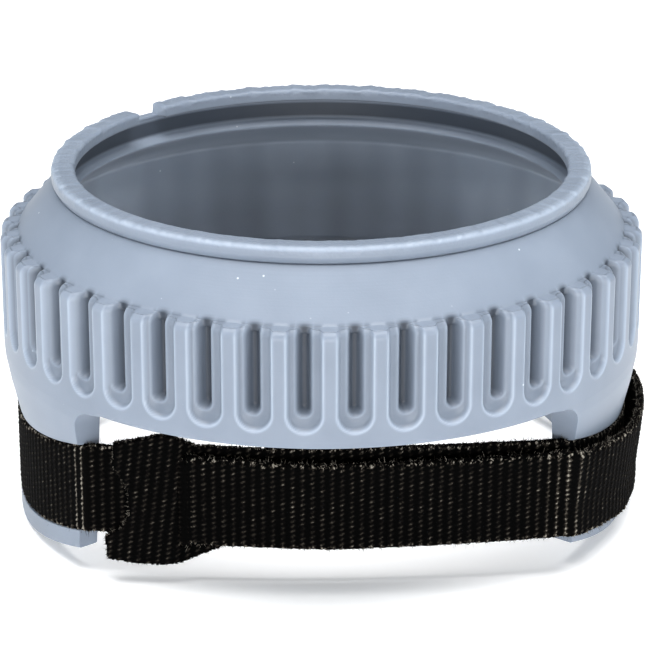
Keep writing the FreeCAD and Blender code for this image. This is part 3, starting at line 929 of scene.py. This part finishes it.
# The tail's cut end at the slot gets a painted highlight.
tail_first = tape_piece("tail_front_run", tail_path[:split + 1], tail_along[:split + 1],
                        tail_low[:split + 1], highlight_columns=[(tail_along[0] + 0.5, 0.5)], tilt=TAIL_TILT)
tail_second = tape_piece("tail_side_run", tail_path[split:], tail_along[split:],
                         tail_low[split:], highlight_columns=tail_highlight_columns, tilt=TAIL_TILT)
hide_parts("strap_tail_front")
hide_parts("strap_tail_side")
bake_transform(tail_first)
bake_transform(tail_second)

# %% [markdown]
# ## The slotted head
# The head is the wide end of the tie. Its free end is cut like a fish's tail, and a
# slot in its middle lets the tail through. It is a sheet of the same weave, so it is
# a fine grid with the cells outside the outline and inside the slot left out. The
# cut edges are left slightly ragged, and fibres stand out along them.

# %% Head outline
SLOT_LEFT, SLOT_RIGHT = -25.6, -23.0
HEAD_LINE = [
    # Top edge, from the fork's upper point to the neck.
    (-36.7, -6.0), (-33.0, -5.3), (-28.6, -4.3), (-26.5, -4.5), (-22.5, -7.2), (-12.0, -7.7),
    # Neck, where the head passes into the lap.
    (-10.2, -7.8), (-10.2, -23.5),
    # Low edge, to the fork's lower point.
    (-14.0, -24.4), (-18.0, -25.9), (-23.0, -28.0), (-28.0, -28.5), (-33.0, -28.4), (-38.2, -27.7),
    # The fork.
    (-38.5, -23.6), (-35.6, -21.9), (-34.2, -19.4), (-34.3, -15.0), (-35.4, -12.4), (-36.9, -10.2),
]
SLOT_LINE = [(SLOT_LEFT, -8.9), (SLOT_RIGHT, -8.9), (SLOT_RIGHT, -25.2), (SLOT_LEFT, -25.2)]


def inside(outline, x, z):
    """Which points lie inside a closed outline."""
    result = np.zeros(x.shape, dtype=bool)
    for (x1, z1), (x2, z2) in zip(outline, outline[1:] + outline[:1]):
        crosses = (z1 > z) != (z2 > z)
        rise = z2 - z1 if z2 != z1 else 1e-9
        result ^= crosses & (x < (x2 - x1) * (z - z1) / rise + x1)
    return result


def head_layer(x):
    """How far the head stands out: one layer at its free end, none at the lap."""
    return LAYER * ease(SLOT_RIGHT + 1.0, SLOT_LEFT - 1.4, x)


# %% Build the head
HEAD_GAP_DEPTH = 0.12     # the same for the head, which is a little thicker


def build_head():
    """Two woven faces and their edges, following the front of the loop."""
    cell = 0.22
    xs = np.arange(-39.2, -9.8, cell)
    zs = np.arange(-28.8, -4.0, cell)
    x, z = np.meshgrid(xs, zs, indexing="ij")
    cx, cz = x[:-1, :-1] + cell / 2.0, z[:-1, :-1] + cell / 2.0
    rough = np.random.default_rng(3)
    jx, jz = (rough.normal(0.0, 0.05, cx.shape) for _ in range(2))
    keep = inside(HEAD_LINE, cx + jx, cz + jz) & ~inside(SLOT_LINE, cx + jx, cz)
    middle = -(front_distance(x) + TAPE_THICK / 2.0 + head_layer(x))
    height = weave(x - 0.12 * (z + 16.0), z + 40.0)
    half = TAPE_THICK / 2.0 - HEAD_GAP_DEPTH
    outer_face = np.stack([x, middle - half - WEAVE_RELIEF * height, z], axis=-1).reshape(-1, 3)
    inner_face = np.stack([x, middle + half + WEAVE_RELIEF * height, z], axis=-1).reshape(-1, 3)
    columns = len(zs)
    around = np.pad(keep, 1)
    i, j = np.where(keep)
    a, b = i * columns + j, (i + 1) * columns + j
    quads = np.stack([a, b, b + 1, a + 1], axis=1)
    shift = len(outer_face)
    faces = np.concatenate([quads, quads[:, ::-1] + shift]).tolist()
    # A side whose neighbour is left out gets an edge face.
    for di, dj, p, q in ((-1, 0, a + 1, a), (1, 0, b, b + 1),
                         (0, -1, a, b), (0, 1, b + 1, a + 1)):
        open_side = ~around[i + di + 1, j + dj + 1]
        pp, qq = p[open_side], q[open_side]
        faces += np.stack([qq, pp, pp + shift, qq + shift], axis=1).tolist()
    crown_highlight = np.concatenate([height.ravel(), height.ravel()])
    return np.concatenate([outer_face, inner_face]), faces, crown_highlight


head_sheet = build_head()
print("head sheet", len(head_sheet[0]), "points")

# %% Ragged edge of the head
HEAD_FLUFF_PER_MM = 12
edge_line = HEAD_LINE + HEAD_LINE[:1]
toss = np.random.default_rng(11)
picks, aims = [], []
for (x1, z1), (x2, z2) in zip(edge_line, edge_line[1:]):
    length = math.hypot(x2 - x1, z2 - z1)
    for t in toss.random(int(length * HEAD_FLUFF_PER_MM)):
        px, pz = x1 + (x2 - x1) * t, z1 + (z2 - z1) * t
        middle = float(front_distance(px)) + TAPE_THICK / 2.0 + float(head_layer(px))
        picks.append((px, -(middle + toss.uniform(-0.7, 0.7)), pz))
        aims.append(((z1 - z2) / length, toss.normal(0.0, 0.4), (x2 - x1) / length))
head = finish_tape("slotted_head",
                   *add_fluff(*head_sheet, np.array(picks), np.array(aims), 0.6, 5))
# The grid's unused points are deleted.
work = bmesh.new()
work.from_mesh(head.data)
loose = [v for v in work.verts if not v.link_faces]
bmesh.ops.delete(work, geom=loose, context="VERTS")
work.to_mesh(head.data)
work.free()
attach(head, "ring")
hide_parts("strap_head")

# %% [markdown]
# ## Stage, light and camera
# The collar stands on plain white paper. Real product lighting is large and soft, so
# four rectangular lamps stand for soft boxes: a wide one overhead for the cone, a low
# one in front for the grip belt, and a cool one at each side for the edges.

# %% Floor
def white_floor():
    """Matt white paper."""
    m, out = start_material("matt_white_paper")
    place = add_node(m, "ShaderNodeTexCoord").outputs["Object"]
    # Paper grain, about 1 mm across.
    grain = add_node(m, "ShaderNodeTexNoise", links={"Vector": place}, Scale=900.0, Detail=2.0)
    bump = add_node(m, "ShaderNodeBump", links={"Height": grain.outputs["Fac"]},
                    Strength=0.05, Distance=0.0002)
    # Backlit paper: it glows a little, which thins the shadows under the object.
    shader = add_node(m, "ShaderNodeBsdfPrincipled", links={"Normal": bump.outputs["Normal"]},
                      Roughness=0.9, Base_Color=linear("#FBFBFB"),
                      Emission_Color=linear("#FFFFFF"), Emission_Strength=0.22)
    m.node_tree.links.new(shader.outputs["BSDF"], out.inputs["Surface"])
    return m


# The floor lies a fifth of a millimetre under the lowest point, so nothing cuts it.
bpy.ops.mesh.primitive_plane_add(size=8.0, location=(0, 0, cad_box[0][2] - 0.0002))
floor = bpy.context.object
floor.name = "floor"
floor.data.materials.append(white_floor())

# %% Lights
def soft_box(name, place, aim, size, power, tint=(1.0, 1.0, 1.0)):
    """A rectangular soft light, aimed at a point."""
    lamp = bpy.data.lights.new(name, "AREA")
    lamp.shape = "RECTANGLE"
    lamp.size, lamp.size_y = size
    lamp.energy = power
    lamp.color = tint
    light = bpy.data.objects.new(name, lamp)
    bpy.context.scene.collection.objects.link(light)
    light.location = place
    light.rotation_euler = (Vector(aim) - Vector(place)).to_track_quat("-Z", "Y").to_euler()
    print(name, power, "W")


for side_name, x in (("softbox_left", -0.80), ("softbox_right", 0.80)):
    soft_box(side_name, (x, -0.05, 0.20), (0, 0, 0.01), (0.5, 0.6), 2.3, (0.86, 0.94, 1.0))
soft_box("softbox_top", (0.0, -0.15, 0.85), (0, 0, 0), (1.0, 0.45), 14.5)
soft_box("softbox_front", (0.0, -1.1, 0.12), (0, 0, 0), (0.9, 0.25), 10.5)
world = bpy.data.worlds.new("studio")
bpy.context.scene.world = world
world.use_nodes = True
background = world.node_tree.nodes["Background"]
background.inputs["Color"].default_value = (1.0, 1.0, 1.0, 1.0)
background.inputs["Strength"].default_value = 0.10
# The plain display curve shows the colours as they were given.
bpy.context.scene.view_settings.view_transform = "Standard"

# %% [markdown]
# ## Camera
# A long lens from about half a metre away, looking down by 21 degrees, keeps the two
# sides of the ring nearly the same size.

# %% Camera
ELEVATION, SWING = math.radians(20.81), math.radians(-1.4)
DISTANCE, LENS = 0.541, 164.3
target = Vector((0.0, 0.0, 0.00075))
back = Vector((math.sin(SWING) * math.cos(ELEVATION), -math.cos(SWING) * math.cos(ELEVATION),
               math.sin(ELEVATION)))
camera_data = bpy.data.cameras.new("camera")
camera_data.lens = LENS
camera_data.sensor_width = 36.0
camera_data.shift_x = 0.0019
camera = bpy.data.objects.new("camera", camera_data)
bpy.context.scene.collection.objects.link(camera)
camera.location = target + back * DISTANCE
camera.rotation_euler = (-back).to_track_quat("-Z", "Y").to_euler()
bpy.context.scene.camera = camera
